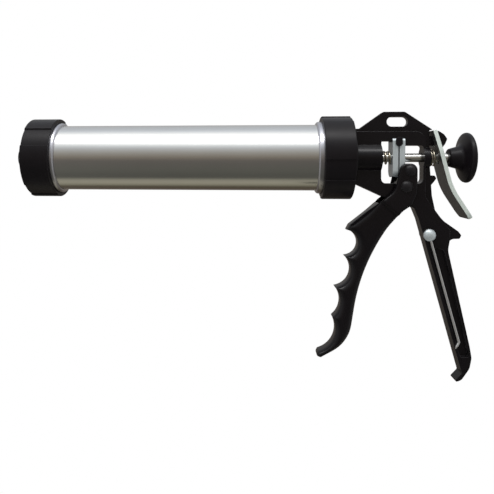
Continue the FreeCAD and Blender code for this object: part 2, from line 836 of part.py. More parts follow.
def release_lever():
    slope = (LEVER_BEND[0] - LEVER_TOP[0]) / (LEVER_BEND[1] - LEVER_TOP[1])
    lean = math.degrees(math.atan(slope))
    centre_x = LEVER_TOP[0] - LEVER_TOP[1] * slope + LEVER_THICKNESS / 2
    lever = lever_strip().common(lever_silhouette())
    half_width = ROD_R + LOOSE
    reach = LEVER_SLOT_PLAY - LOOSE
    slot = rod_along_x(half_width, -10, 10)
    slot.translate(Vector(0, 0, reach))
    lower = rod_along_x(half_width, -10, 10)
    lower.translate(Vector(0, 0, -reach))
    slot = slot.fuse(lower).fuse(box(-10, 10, -half_width, half_width, -reach, reach))
    slot.rotate(Vector(0, 0, 0), AXIS_Y, lean)
    slot.translate(Vector(centre_x, 0, 0))
    ear_gap = WEB_HALF + 0.4
    window = box(LEVER_TOP[0] - 6, LEVER_TOP[0] + 12, -ear_gap, ear_gap,
                 EAR_BOTTOM - 1.0, EAR_TOP + 0.4)
    return lever.cut(slot).cut(window)


def release_spring():
    slope = (LEVER_BEND[0] - LEVER_TOP[0]) / (LEVER_BEND[1] - LEVER_TOP[1])
    coil_top = RELEASE_SPRING_R + RELEASE_SPRING_WIRE_R
    lever_face = LEVER_TOP[0] + (coil_top - LEVER_TOP[1]) * slope
    return coil_along_x(
        RELEASE_SPRING_R, RELEASE_SPRING_WIRE_R,
        REAR_WALL_REAR - REAR_SEAT, lever_face - 0.1, RELEASE_SPRING_TURNS)


# ---- piercing wire ----------------------------------------------------------
def pierce_rivet():
    seat = WIRE_Y - WIRE_R - LOOSE
    return joined([
        rod_along_y(WIRE_SHAFT_R, WIRE_PIVOT, seat, RIM_HALF),
        domed_head(WIRE_PIVOT, seat, -1, WIRE_HEAD_R, RIVET_HEAD_HEIGHT),
        domed_head(WIRE_PIVOT, RIM_HALF, 1, WIRE_HEAD_R - 1, 1.2),
    ])


def pierce_wire():
    """Steel wire with an eye round its rivet and a short hooked point."""
    pivot = Vector(WIRE_PIVOT[0], WIRE_Y, WIRE_PIVOT[1])
    tip = Vector(WIRE_TIP[0], WIRE_Y, WIRE_TIP[1])
    along = (tip - pivot).normalize()
    eye = Part.makeTorus(WIRE_EYE_R, WIRE_R, pivot, AXIS_Y)
    start = pivot + along * WIRE_EYE_R
    shank = Part.makeCylinder(WIRE_R, start.distanceToPoint(tip), start, along)
    hook_end = tip + Vector(-1.6, 0, -3.2)
    hook_way = (hook_end - tip).normalize()
    hook = Part.makeCylinder(WIRE_R, tip.distanceToPoint(hook_end), tip, hook_way)
    knee = Part.makeSphere(WIRE_R, tip)
    point = Part.makeCone(WIRE_R, 0.2, 2.2, hook_end, hook_way)
    return joined([eye, shank, knee, hook, point])


FROM_NECK = {
    "nozzle_adapter": nozzle_adapter,
    "adapter_gasket": adapter_gasket,
    "front_cap": front_cap,
    "front_ferrule": front_ferrule,
    "barrel_tube": barrel_tube,
    "rear_ferrule": rear_ferrule,
    "piston_rod": piston_rod,
    "piston_nut": piston_nut,
    "piston_washer": piston_washer,
    "piston_cup": piston_cup,
    "piston_backing_plate": piston_backing_plate,
    "piston_jam_nut": piston_jam_nut,
}

FROM_BARREL_REAR = {
    "barrel_gasket": barrel_gasket,
    "rear_collar": rear_collar,
    "frame_casting": frame_casting,
    "rod_guide_bush": rod_guide_bush,
    "pivot_rivet": pivot_rivet,
    "trigger_lever": trigger_lever,
    "push_pin": push_pin,
    "push_roller": push_roller,
    "drive_plate_front": lambda: drive_plate(FRONT_PLATE_FRONT),
    "drive_plate_rear": lambda: drive_plate(REAR_PLATE_FRONT),
    "plate_spacer": plate_spacer,
    "drive_spring": drive_spring,
    "release_lever": release_lever,
    "release_spring": release_spring,
    "rod_knob": rod_knob,
    "pierce_rivet": pierce_rivet,
    "pierce_wire": pierce_wire,
}


def save(parts, offset):
    for name, build in parts.items():
        shape = build()
        shape.translate(Vector(offset, 0, 0))
        shape.exportStep(os.path.join("parts", name + ".step"))
        print(f"{name}: {len(shape.Solids)} solid, {shape.Volume / 1000:.2f} cm3")


os.makedirs("parts", exist_ok=True)
save(FROM_NECK, 0)
save(FROM_BARREL_REAR, BARREL_REAR)
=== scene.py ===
import json
import math

import bmesh
import bpy
import numpy as np
from mathutils import Matrix, Vector
from mathutils.geometry import delaunay_2d_cdt


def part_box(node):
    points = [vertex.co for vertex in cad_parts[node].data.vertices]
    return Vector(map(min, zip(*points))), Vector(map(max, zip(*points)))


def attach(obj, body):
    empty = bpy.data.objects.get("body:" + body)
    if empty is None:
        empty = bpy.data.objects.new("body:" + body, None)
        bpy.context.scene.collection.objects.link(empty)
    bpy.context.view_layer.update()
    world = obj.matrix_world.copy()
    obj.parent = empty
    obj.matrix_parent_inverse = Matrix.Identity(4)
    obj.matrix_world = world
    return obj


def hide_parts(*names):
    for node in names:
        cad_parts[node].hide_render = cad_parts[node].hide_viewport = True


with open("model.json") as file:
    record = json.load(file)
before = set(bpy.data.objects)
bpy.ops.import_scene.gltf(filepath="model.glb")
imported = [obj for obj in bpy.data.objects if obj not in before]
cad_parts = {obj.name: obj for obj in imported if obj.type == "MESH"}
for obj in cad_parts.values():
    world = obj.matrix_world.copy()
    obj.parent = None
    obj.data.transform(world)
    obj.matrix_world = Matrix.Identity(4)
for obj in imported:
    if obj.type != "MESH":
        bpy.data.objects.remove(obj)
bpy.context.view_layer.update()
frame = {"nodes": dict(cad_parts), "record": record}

MM = 0.001

# ---- nodes shared by groups and materials -------------------------------------

MIX_COLOUR_FIRST = 6       # places of the colour sockets on a Mix node
MIX_COLOUR_SECOND = 7
MIX_COLOUR_RESULT = 2


def feed(tree, socket, value):
    """Gives a socket its value: another node's output, an RGB triple or a plain number."""
    if isinstance(value, bpy.types.NodeSocket):
        tree.links.new(value, socket)
    elif isinstance(value, tuple):
        socket.default_value = (*value, 1.0)
    else:
        socket.default_value = value


def math_node(tree, operation, first, second=None, clamp=False):
    """A Math node's result. Its operands are sockets or plain numbers."""
    node = tree.nodes.new("ShaderNodeMath")
    node.operation = operation
    node.use_clamp = clamp
    feed(tree, node.inputs[0], first)
    if second is not None:
        feed(tree, node.inputs[1], second)
    return node.outputs[0]


def vector_math(tree, operation, first, second):
    """A Vector Math node between two sockets."""
    node = tree.nodes.new("ShaderNodeVectorMath")
    node.operation = operation
    feed(tree, node.inputs[0], first)
    feed(tree, node.inputs[1], second)
    return node


def noise_node(tree, vector, scale, detail, roughness=0.5):
    """Soft random values from 0 to 1 over a surface."""
    node = tree.nodes.new("ShaderNodeTexNoise")
    node.inputs["Detail"].default_value = detail
    node.inputs["Roughness"].default_value = roughness
    feed(tree, node.inputs["Vector"], vector)
    feed(tree, node.inputs["Scale"], scale)
    return node.outputs["Fac"]


def ramp_between(tree, value, low, high):
    """0 at or below low, 1 at or above high, and even in between."""
    node = tree.nodes.new("ShaderNodeMapRange")
    feed(tree, node.inputs["Value"], value)
    feed(tree, node.inputs["From Min"], low)
    feed(tree, node.inputs["From Max"], high)
    return node.outputs["Result"]


def spread(tree, factor, low, high):
    """A value from low to high as factor goes from 0 to 1."""
    node = tree.nodes.new("ShaderNodeMapRange")
    feed(tree, node.inputs["Value"], factor)
    feed(tree, node.inputs["To Min"], low)
    feed(tree, node.inputs["To Max"], high)
    return node.outputs["Result"]


def mix_colours(tree, factor, first, second):
    """The first colour where factor is 0, the second where it is 1."""
    node = tree.nodes.new("ShaderNodeMix")
    node.data_type = "RGBA"
    feed(tree, node.inputs["Factor"], factor)
    feed(tree, node.inputs[MIX_COLOUR_FIRST], first)
    feed(tree, node.inputs[MIX_COLOUR_SECOND], second)
    return node.outputs[MIX_COLOUR_RESULT]


def bump(tree, height, normal, strength, distance):
    """A normal that a fine height pattern tilts."""
    node = tree.nodes.new("ShaderNodeBump")
    feed(tree, node.inputs["Strength"], strength)
    feed(tree, node.inputs["Distance"], distance)
    feed(tree, node.inputs["Height"], height)
    feed(tree, node.inputs["Normal"], normal)
    return node.outputs["Normal"]


def object_place(tree):
    """The place on the piece itself, so that a pattern stays with it."""
    return tree.nodes.new("ShaderNodeTexCoord").outputs["Object"]


# ---- shader node groups --------------------------------------------------------

EDGE_SAMPLES = 6
FAINT_TURN = 0.02          # how far a rounded normal leaves the flat one at a faint edge
FULL_TURN = 0.22           # and at a sharp one
PATCH_START = 0.35         # noise level where the lighter edge begins
PATCH_END = 0.65           # and where it is complete


def new_group(name, inputs, outputs):
    """Empty shader node group. inputs are (name, default), outputs are (name, socket type)."""
    group = bpy.data.node_groups.new(name, "ShaderNodeTree")
    for label, default in inputs:
        socket = group.interface.new_socket(
            label, in_out="INPUT", socket_type="NodeSocketFloat")
        socket.default_value = default
    for label, kind in outputs:
        group.interface.new_socket(label, in_out="OUTPUT", socket_type=kind)
    entry = group.nodes.new("NodeGroupInput")
    leave = group.nodes.new("NodeGroupOutput")
    return group, entry.outputs, leave.inputs


def make_edge_group():
    """Where the surface turns sharply: a mask for wear and for painted edge highlights, and a normal
    that rounds the edge.
    """
    group, given, result = new_group(
        "worn_and_highlit_edges",
        [("Radius", 0.4 * MM), ("Wear", 0.5), ("Patchiness", 60.0)],
        [("Mask", "NodeSocketFloat"), ("Normal", "NodeSocketVector")],
    )
    bevel = group.nodes.new("ShaderNodeBevel")
    bevel.samples = EDGE_SAMPLES
    feed(group, bevel.inputs["Radius"], given["Radius"])
    rounded = bevel.outputs["Normal"]
    geometry = group.nodes.new("ShaderNodeNewGeometry")
    likeness = vector_math(group, "DOT_PRODUCT", rounded, geometry.outputs["Normal"])
    turned = math_node(group, "SUBTRACT", 1.0, likeness.outputs["Value"], clamp=True)
    edge = ramp_between(group, turned, FAINT_TURN, FULL_TURN)
    patches = noise_node(group, object_place(group), given["Patchiness"], detail=4.0)
    broken = ramp_between(group, patches, PATCH_START, PATCH_END)
    worn_and_highlit = math_node(group, "MULTIPLY", edge, broken)
    mask = math_node(group, "MULTIPLY", worn_and_highlit, given["Wear"], clamp=True)
    feed(group, result["Mask"], mask)
    feed(group, result["Normal"], rounded)
    return group


def make_grain_group():
    """Fine pebbled skin of a moulding or paint film: a height and a slow colour variation."""
    group, given, result = new_group(
        "pebbled_skin",
        [("Grain Scale", 1800.0), ("Cloud Scale", 45.0)],
        [("Height", "NodeSocketFloat"), ("Clouds", "NodeSocketFloat")],
    )
    place = object_place(group)
    fine = noise_node(group, place, given["Grain Scale"], detail=2.0)
    slow = noise_node(group, place, given["Cloud Scale"], detail=4.0, roughness=0.6)
    feed(group, result["Height"], fine)
    feed(group, result["Clouds"], slow)
    return group


def make_drawn_group():
    """Fine lines left by drawing, rolling or turning: finest across the stretched direction."""
    group, given, result = new_group(
        "drawn_lines",
        [("Along X", 6.0), ("Across", 900.0), ("Smudge Scale", 22.0)],
        [("Height", "NodeSocketFloat"), ("Lines", "NodeSocketFloat"), ("Smudges", "NodeSocketFloat")],
    )
    place = object_place(group)
    stretch = group.nodes.new("ShaderNodeCombineXYZ")
    feed(group, stretch.inputs["X"], given["Along X"])
    feed(group, stretch.inputs["Y"], given["Across"])
    feed(group, stretch.inputs["Z"], given["Across"])
    stretched = vector_math(group, "MULTIPLY", place, stretch.outputs["Vector"]).outputs["Vector"]
    lines = noise_node(group, stretched, scale=1.0, detail=5.0, roughness=0.65)
    smudges = noise_node(group, place, given["Smudge Scale"], detail=5.0, roughness=0.6)
    feed(group, result["Height"], lines)
    feed(group, result["Lines"], lines)
    feed(group, result["Smudges"], smudges)
    return group


EDGES = make_edge_group()
GRAIN = make_grain_group()
DRAWN = make_drawn_group()

# ---- materials -----------------------------------------------------------------

SKIN_EDGE_R = 0.5 * MM     # rounding of moulded and painted edges
METAL_EDGE_R = 0.3 * MM    # rounding of turned and cut edges
SKIN_PATCHES = 120.0
METAL_PATCHES = 150.0
CLOUD_SCALE = 40.0
SKIN_SWING = 0.07          # how far roughness varies over painted and moulded skins
PLATE_SWING = 0.08         # over sheet steel
METAL_SMOOTHER = 0.06      # and over bare metal, to the smooth side
METAL_ROUGHER = 0.08       # and to the rough side
SKIN_BUMP = 0.5
PLATE_BUMP = 0.3
METAL_BUMP = 0.35
PLATE_LINE_DEPTH = 0.01 * MM
PLATE_METALLIC = 0.55
EDGE_BRIGHTNESS = 1.25
CUT_AND_HIGHLIGHT_TILT_START = 0.55      # sideways part of the normal where the bright edge begins: bare cut metal and a painted highlight
CUT_AND_HIGHLIGHT_TILT_END = 0.85        # and where it is complete


def new_material(name):
    """A named material, its node tree and its shader."""
    material = bpy.data.materials.new(name)
    material.use_nodes = True
    tree = material.node_tree
    return material, tree, tree.nodes["Principled BSDF"]


def place_group(tree, group, **values):
    """A group node's outputs. Keyword names are the input names with _ for spaces."""
    node = tree.nodes.new("ShaderNodeGroup")
    node.node_tree = group
    for label, value in values.items():
        node.inputs[label.replace("_", " ")].default_value = value
    return node.outputs


def connect_finish(tree, shader, colour, roughness, normal):
    """Leads a finish's colour, roughness and normal into its shader."""
    feed(tree, shader.inputs["Base Color"], colour)
    feed(tree, shader.inputs["Roughness"], roughness)
    feed(tree, shader.inputs["Normal"], normal)


def dark_skin(name, colour, cloud_colour, worn_and_highlight_colour, roughness, wear, grain_scale, grain_depth,
              gloss=0.18):
    """Black paint, plastic or rubber: pebbled, slightly mottled, lighter along its edges, partly from
    wear and partly as a painted highlight.
    """
    material, tree, shader = new_material(name)
    shader.inputs["Specular IOR Level"].default_value = gloss
    grain = place_group(tree, GRAIN, Grain_Scale=grain_scale, Cloud_Scale=CLOUD_SCALE)
    edges = place_group(tree, EDGES, Radius=SKIN_EDGE_R, Wear=wear, Patchiness=SKIN_PATCHES)
    mottled = mix_colours(tree, grain["Clouds"], colour, cloud_colour)
    # edges take the lighter colour: partly wear, partly a painted highlight along the rounded edges
    final = mix_colours(tree, edges["Mask"], mottled, worn_and_highlight_colour)
    rough = spread(tree, grain["Clouds"], roughness - SKIN_SWING, roughness + SKIN_SWING)
    normal = bump(tree, grain["Height"], edges["Normal"], SKIN_BUMP, grain_depth)
    connect_finish(tree, shader, final, rough, normal)
    return material


def cut_edge_and_highlight_mask(tree):
    """1 on the faces that look along Y, to the near or far side: a plate's cut edges, and where a
    painted highlight goes.
    """
    geometry = tree.nodes.new("ShaderNodeNewGeometry")
    split = tree.nodes.new("ShaderNodeSeparateXYZ")
    feed(tree, split.inputs[0], geometry.outputs["Normal"])
    sideways = math_node(tree, "ABSOLUTE", split.outputs["Y"])
    return ramp_between(tree, sideways, CUT_AND_HIGHLIGHT_TILT_START, CUT_AND_HIGHLIGHT_TILT_END)


def cut_plate(name, face_colour, smudge_colour, bare_edge_and_highlight_colour, roughness):
    """Plated sheet steel: duller rolled faces, and bright edges: bare cut metal, with a painted
    highlight on the faces that turn along Y.
    """
    material, tree, shader = new_material(name)
    shader.inputs["Metallic"].default_value = PLATE_METALLIC
    drawn = place_group(tree, DRAWN, Along_X=160.0, Across=420.0, Smudge_Scale=60.0)
    edges = place_group(tree, EDGES, Radius=METAL_EDGE_R, Wear=0.6, Patchiness=METAL_PATCHES)
    faces = mix_colours(tree, drawn["Smudges"], face_colour, smudge_colour)
    worn_and_highlit = mix_colours(tree, edges["Mask"], faces, bare_edge_and_highlight_colour)
    # faces turned along Y take the bright edge colour: bare cut metal and a painted highlight on the
    # near and far sides
    final = mix_colours(tree, cut_edge_and_highlight_mask(tree), worn_and_highlit, bare_edge_and_highlight_colour)
    rough = spread(tree, drawn["Lines"], roughness - PLATE_SWING, roughness + PLATE_SWING)
    normal = bump(tree, drawn["Height"], edges["Normal"], PLATE_BUMP, PLATE_LINE_DEPTH)
    connect_finish(tree, shader, final, rough, normal)
    return material


def bare_metal(name, colour, smudge_colour, roughness, along, across, line_depth, wear=0.3):
    """Drawn, rolled or plated metal with fine lines, smudges and brighter edges."""
    material, tree, shader = new_material(name)
    shader.inputs["Metallic"].default_value = 1.0
    drawn = place_group(tree, DRAWN, Along_X=along, Across=across, Smudge_Scale=25.0)
    edges = place_group(tree, EDGES, Radius=METAL_EDGE_R, Wear=wear, Patchiness=METAL_PATCHES)
    smudged = mix_colours(tree, drawn["Smudges"], colour, smudge_colour)
    bright = tuple(min(1.0, channel * EDGE_BRIGHTNESS) for channel in colour)
    final = mix_colours(tree, edges["Mask"], smudged, bright)
    rough = spread(tree, drawn["Lines"], roughness - METAL_SMOOTHER, roughness + METAL_ROUGHER)
    normal = bump(tree, drawn["Height"], edges["Normal"], METAL_BUMP, line_depth)
    connect_finish(tree, shader, final, rough, normal)
    return material


def painted_casting():
    """Semi-gloss black paint on the frame and trigger castings."""
    return dark_skin(
        "black_casting_paint",
        colour=(0.0035, 0.0028, 0.0035),
        cloud_colour=(0.007, 0.0055, 0.0065),
        # the edge colour and the strong wear paint highlight lines along the casting's edges, as well as
        # real wear
        worn_and_highlight_colour=(0.085, 0.080, 0.086),
        roughness=0.24,
        wear=0.8,
        grain_scale=1500.0,
        grain_depth=0.02 * MM,
        gloss=0.25,
    )


def moulded_plastic():
    """Black nylon of the screw rings, the adapter, the knob and the clip between the plates."""
    return dark_skin(
        "black_moulded_nylon",
        colour=(0.005, 0.0038, 0.0045),
        cloud_colour=(0.009, 0.007, 0.0085),
        worn_and_highlight_colour=(0.045, 0.042, 0.050),
        roughness=0.36,
        wear=0.5,
        grain_scale=2400.0,
        grain_depth=0.02 * MM,
    )


def blackened_rivet():
    """Blackened steel of the two rivets through the trigger."""
    return dark_skin(
        "blackened_rivet_steel",
        colour=(0.008, 0.007, 0.008),
        cloud_colour=(0.016, 0.014, 0.015),
        worn_and_highlight_colour=(0.09, 0.085, 0.08),
        roughness=0.30,
        wear=0.6,
        grain_scale=1200.0,
        grain_depth=0.02 * MM,
    )


def seal_rubber():
    """Dull black rubber of the gaskets and the piston's cup."""
    return dark_skin(
        "seal_rubber",
        colour=(0.012, 0.012, 0.012),
        cloud_colour=(0.022, 0.022, 0.022),
        worn_and_highlight_colour=(0.04, 0.04, 0.04),
        roughness=0.65,
        wear=0.2,
        grain_scale=1800.0,
        grain_depth=0.04 * MM,
    )


def barrel_aluminium():
    """Satin aluminium with faint lines along the tube."""
    return bare_metal(
        "satin_barrel_aluminium",
        colour=(0.78, 0.77, 0.75),
        smudge_colour=(0.70, 0.69, 0.67),
        roughness=0.20,
        along=5.0,
        across=1200.0,
        line_depth=0.01 * MM,
        wear=0.2,
    )


def ferrule_aluminium():
    """Turned aluminium with lines round the ring."""
    return bare_metal(
        "turned_ferrule_aluminium",
        colour=(0.62, 0.62, 0.66),
        smudge_colour=(0.50, 0.49, 0.52),
        roughness=0.26,
        along=900.0,
        across=20.0,
        line_depth=0.01 * MM,
    )


def zinc_plate():
    """Zinc-plated steel of the drive plates, the piston's fastening, the roller and the wire's rivet."""
    return cut_plate(
        "zinc_plated_steel",
        face_colour=(0.50, 0.54, 0.56),
        smudge_colour=(0.38, 0.41, 0.43),
        # the bright edge colour is bare cut metal plus a painted highlight, on plate edges and on the
        # rivet head that face along Y
        bare_edge_and_highlight_colour=(0.58, 0.63, 0.64),
        roughness=0.42,
    )


def lever_steel():
    """Dark sheet steel of the thumb lever, bright where it was cut, with a painted highlight on its near
    edge.
    """
    return cut_plate(
        "lever_plate_steel",
        face_colour=(0.085, 0.09, 0.085),
        smudge_colour=(0.055, 0.05, 0.046),
        # bright edge colour: the bare cut edge plus a painted highlight on the near edge
        bare_edge_and_highlight_colour=(0.84, 0.92, 0.86),
        roughness=0.40,
    )


def rod_steel():
    """Bright drawn steel of the push rod."""
    return bare_metal(
        "drawn_rod_steel",
        colour=(0.80, 0.80, 0.79),
        smudge_colour=(0.66, 0.64, 0.58),
        roughness=0.20,
        along=3.0,
        across=900.0,
        line_depth=0.001 * MM,
        wear=0.05,
    )


def spring_wire():
    """Slightly yellowed steel wire of both springs."""
    return bare_metal(
        "spring_wire_steel",
        colour=(0.74, 0.71, 0.62),
        smudge_colour=(0.46, 0.38, 0.26),
        roughness=0.26,
        along=400.0,
        across=400.0,
        line_depth=0.004 * MM,
    )


def bright_wire():
    """Bright plated wire of the piercing needle."""
    return bare_metal(
        "bright_piercing_wire",
        colour=(0.88, 0.88, 0.88),
        smudge_colour=(0.78, 0.78, 0.78),
        roughness=0.45,
        along=8.0,
        across=8.0,
        line_depth=0.002 * MM,
    )


def bush_bronze():
    """Sintered bronze of the rod's bearing."""
    return bare_metal(
        "sintered_bush_bronze",
        colour=(0.72, 0.52, 0.26),
        smudge_colour=(0.55, 0.38, 0.18),
        roughness=0.38,
        along=300.0,
        across=300.0,
        line_depth=0.02 * MM,
    )


FINISHES = {
    "black_cast": painted_casting(),
    "black_rivet": blackened_rivet(),
    "black_plastic": moulded_plastic(),
    "barrel_aluminium": barrel_aluminium(),
    "ferrule_aluminium": ferrule_aluminium(),
    "zinc_steel": zinc_plate(),
    "bright_wire": bright_wire(),
    "lever_steel": lever_steel(),
    "rod_steel": rod_steel(),
    "spring_wire": spring_wire(),
    "bush_brass": bush_bronze(),
    "seal_rubber": seal_rubber(),
}


def dress_nodes():
    """Every CAD node takes the finish of its material slot."""
    for subpart in frame["record"]["subparts"]:
        node = frame["nodes"][subpart["node"]]
        node.data.materials.clear()
        node.data.materials.append(FINISHES[subpart["material_slot"]])


def add_object(name, data):
    """A new object in the scene."""
    added = bpy.data.objects.new(name, data)
    bpy.context.scene.collection.objects.link(added)
    return added


# ---- moulded trigger -----------------------------------------------------------
# Lengths are in millimetres in the XZ plane, and are scaled when the mesh is made.

GRIP_HALF = 9.0            # half the width across the fingers
CHEEK_HALF = 11.0          # half the width across the two cheeks
GRIP_ROUNDING = 5.4        # edge radius along the finger grip
CHEEK_ROUNDING = 1.5       # edge radius round the cheeks
SHOULDER_START = 21.0      # distances from the pivot over which one radius becomes the other
SHOULDER_END = 38.0
BARREL_REAR_X = 261.0
STEP_TOP = (BARREL_REAR_X + 30.0, -30.0)
STEP_FOOT = (BARREL_REAR_X + 48.5, -46.0)
STEP_START = -0.4          # from the line between those points, where the cheeks begin to drop
STEP_END = 1.6             # and where they meet the grip
MESH_PITCH = 0.9
RIM_DEPTHS = (0.12, 0.5, 1.1, 1.9, 2.8)
RIM_DEPTH_KEPT = 0.97      # share of its depth that a rim point has to keep in a tight corner
GRID_MARGIN = 0.4          # gap between the rim's last row and the grid
OUTER_FACE_LEVEL = 9.0     # the cheeks' side faces lie further out than this
NEAR_SIDE_NORMAL = -0.99   # Y of the normal of a face that looks straight at the near side
MATCHED_DIGITS = 3
SHORTEST_SQUARED = 1e-12
INSIDE_OUTLINE = 1         # fill the outline, and nothing outside it
MERGE_DISTANCE = 1e-4
SLOT_R = 24.5              # round slot for the frame, between the cheeks
SLOT_HALF = 8.2
PIVOT_HOLE_R = 3.05
PUSH_HOLE_R = 2.0
HOLE_OVERRUN = 1.0         # how far a hole's cutter stands out of the cheeks
CUTTER_SIDES = 64
SHARP_EDGE = math.radians(50)


def flat(point):
    """A point's place in the XZ plane, rounded so that equal points match."""
    return (round(point.x / MM, MATCHED_DIGITS), round(point.z / MM, MATCHED_DIGITS))


def border_edges(node):
    """Edges that bound the node's outer near side, as pairs of flat points."""
    shape = bmesh.new()
    shape.from_mesh(node.data)
    uses = {}
    for face in shape.faces:
        outward = -face.calc_center_median().y / MM
        if face.normal.y > NEAR_SIDE_NORMAL or outward < OUTER_FACE_LEVEL:
            continue
        for edge in face.edges:
            ends = tuple(sorted(flat(vert.co) for vert in edge.verts))
            if ends[0] != ends[1]:
                uses[ends] = uses.get(ends, 0) + 1
    shape.free()
    return [ends for ends, count in uses.items() if count == 1]


def side_outlines(node):
    """Closed outlines of the node's outer near side."""
    neighbours = {}
    for first, second in border_edges(node):
        neighbours.setdefault(first, []).append(second)
        neighbours.setdefault(second, []).append(first)
    loops = []
    while neighbours:
        here = next(iter(neighbours))
        loop = []
        while here in neighbours:
            loop.append(here)
            onward = [point for point in neighbours.pop(here) if point in neighbours]
            here = onward[0] if onward else None
        loops.append(loop)
    return loops


def signed_area(loop):
    """Area within a closed outline, negative if it runs clockwise."""
    points = np.array(loop)
    x, z = points[:, 0], points[:, 1]
    return 0.5 * float(np.sum(x * np.roll(z, -1) - np.roll(x, -1) * z))


def with_even_steps(loop, pitch):
    """The closed outline again, with points no further apart than the pitch."""
    points = []
    for start, end in zip(loop, loop[1:] + loop[:1]):
        start, end = np.array(start), np.array(end)
        steps = max(1, math.ceil(np.linalg.norm(end - start) / pitch))
        points += [start + (end - start) * step / steps for step in range(steps)]
    return np.array(points)


def depth_inside(points, loop):
    """Distance of each point from the outline."""
    along = np.roll(loop, -1, axis=0) - loop
    length = np.maximum(np.sum(along * along, axis=1), SHORTEST_SQUARED)
    offset = points[:, None, :] - loop[None, :, :]
    share = np.clip(np.sum(offset * along, axis=2) / length, 0, 1)
    nearest = offset - share[:, :, None] * along
    return np.sqrt(np.min(np.sum(nearest * nearest, axis=2), axis=1))


def is_inside(points, loop):
    """Even-odd test of each point against the outline."""
    x, z = points[:, 0][:, None], points[:, 1][:, None]
    x0, z0 = loop[:, 0], loop[:, 1]
    x1, z1 = np.roll(x0, -1), np.roll(z0, -1)
    spans = (z0 > z) != (z1 > z)
    rise = np.where(z1 == z0, 1.0, z1 - z0)
    crossing = x0 + (z - z0) * (x1 - x0) / rise
    return np.sum(spans & (x < crossing), axis=1) % 2 == 1


def inward_directions(loop):
    """At each point of the outline, the unit direction that leads into it."""
    along = np.roll(loop, -1, axis=0) - np.roll(loop, 1, axis=0)
    along /= np.linalg.norm(along, axis=1)[:, None]
    inward = np.stack([-along[:, 1], along[:, 0]], axis=1)
    return -inward if signed_area(loop) < 0 else inward


def surface_points(loop):
    """Points inside the outline: close rows along its rim, and an even grid further in."""
    inward = inward_directions(loop)
    rows = []
    for depth in RIM_DEPTHS:
        row = loop + inward * depth
        rows.append(row[depth_inside(row, loop) > RIM_DEPTH_KEPT * depth])
    low, high = loop.min(axis=0), loop.max(axis=0)
    across = np.arange(low[0], high[0], MESH_PITCH)
    upward = np.arange(low[1], high[1], MESH_PITCH)
    grid = np.array([(x, z) for x in across for z in upward])
    grid = grid[is_inside(grid, loop)]
    rows.append(grid[depth_inside(grid, loop) > RIM_DEPTHS[-1] + GRID_MARGIN])
    return np.concatenate(rows)


def smooth_step(value, low, high):
    """0 below low, 1 above high, with a soft start and end between them."""
    share = np.clip((value - low) / (high - low), 0, 1)
    return share * share * (3 - 2 * share)


def half_thickness(points, depth, pivot):
    """Distance from the middle plane to the moulded surface."""
    from_pivot = np.linalg.norm(points - np.array(pivot), axis=1)
    shoulder = smooth_step(from_pivot, SHOULDER_START, SHOULDER_END)
    rounding = CHEEK_ROUNDING + (GRIP_ROUNDING - CHEEK_ROUNDING) * shoulder
    top, foot = np.array(STEP_TOP), np.array(STEP_FOOT)
    along = (foot - top) / np.linalg.norm(foot - top)
    beyond = (points[:, 0] - top[0]) * along[1] - (points[:, 1] - top[1]) * along[0]
    half = CHEEK_HALF + (GRIP_HALF - CHEEK_HALF) * smooth_step(beyond, STEP_START, STEP_END)
    shortfall = np.clip(rounding - depth, 0, None)
    return half - rounding + np.sqrt(np.maximum(rounding ** 2 - shortfall ** 2, 0))


def triangulated_side(node):
    """Triangles that fill the node's outline: their points, their corners and the outline."""
    outer = max(side_outlines(node), key=lambda loop: abs(signed_area(loop)))
    outline = with_even_steps(outer, MESH_PITCH)
    points = np.concatenate([outline, surface_points(outline)])
    rim = list(range(len(outline)))
    filled = delaunay_2d_cdt(
        [Vector(point) for point in points], [], [rim], INSIDE_OUTLINE, MERGE_DISTANCE)
    flat_points = np.array([tuple(point) for point in filled[0]])
    triangles = [tuple(face) for face in filled[2]]
    return flat_points, triangles, outline


def rim_sides(faces):
    """The sides that only one face has, in the direction that it runs."""
    sides = {}
    for face in faces:
        for side in zip(face, face[1:] + face[:1]):
            sides[side] = True
    return [(start, end) for start, end in sides if (end, start) not in sides]


def moulded_body(node, pivot):
    """The node's outline as a rounded moulding: near and far skins and a band between them."""
    points, skin, outline = triangulated_side(node)
    half = half_thickness(points, depth_inside(points, outline), pivot)
    near = [(x * MM, -y * MM, z * MM) for (x, z), y in zip(points, half)]
    far = [(x * MM, y * MM, z * MM) for (x, z), y in zip(points, half)]
    count = len(points)
    far_skin = [tuple(count + index for index in reversed(face)) for face in skin]
    band = [(end, start, count + start, count + end) for start, end in rim_sides(skin)]
    mesh = bpy.data.meshes.new("trigger moulding")
    mesh.from_pydata(near + far, [], skin + far_skin + band)
    return mesh


def pin_cutter(name, centre, radius, half):
    """A short cylinder along Y, used to cut and then thrown away."""
    mesh = bpy.data.meshes.new(name)
    shape = bmesh.new()
    place = Matrix.Translation((centre[0] * MM, 0, centre[1] * MM))
    lying = Matrix.Rotation(math.radians(90), 4, "X")
    bmesh.ops.create_cone(
        shape,
        cap_ends=True,
        segments=CUTTER_SIDES,
        radius1=radius * MM,
        radius2=radius * MM,
        depth=2 * half * MM,
        matrix=place @ lying,
    )
    shape.to_mesh(mesh)
    shape.free()
    return add_object(name, mesh)


def middle_of(node_name):
    """Middle of a node's box in the XZ plane."""
    low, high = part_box(node_name)
    return ((low[0] + high[0]) / 2 / MM, (low[2] + high[2]) / 2 / MM)


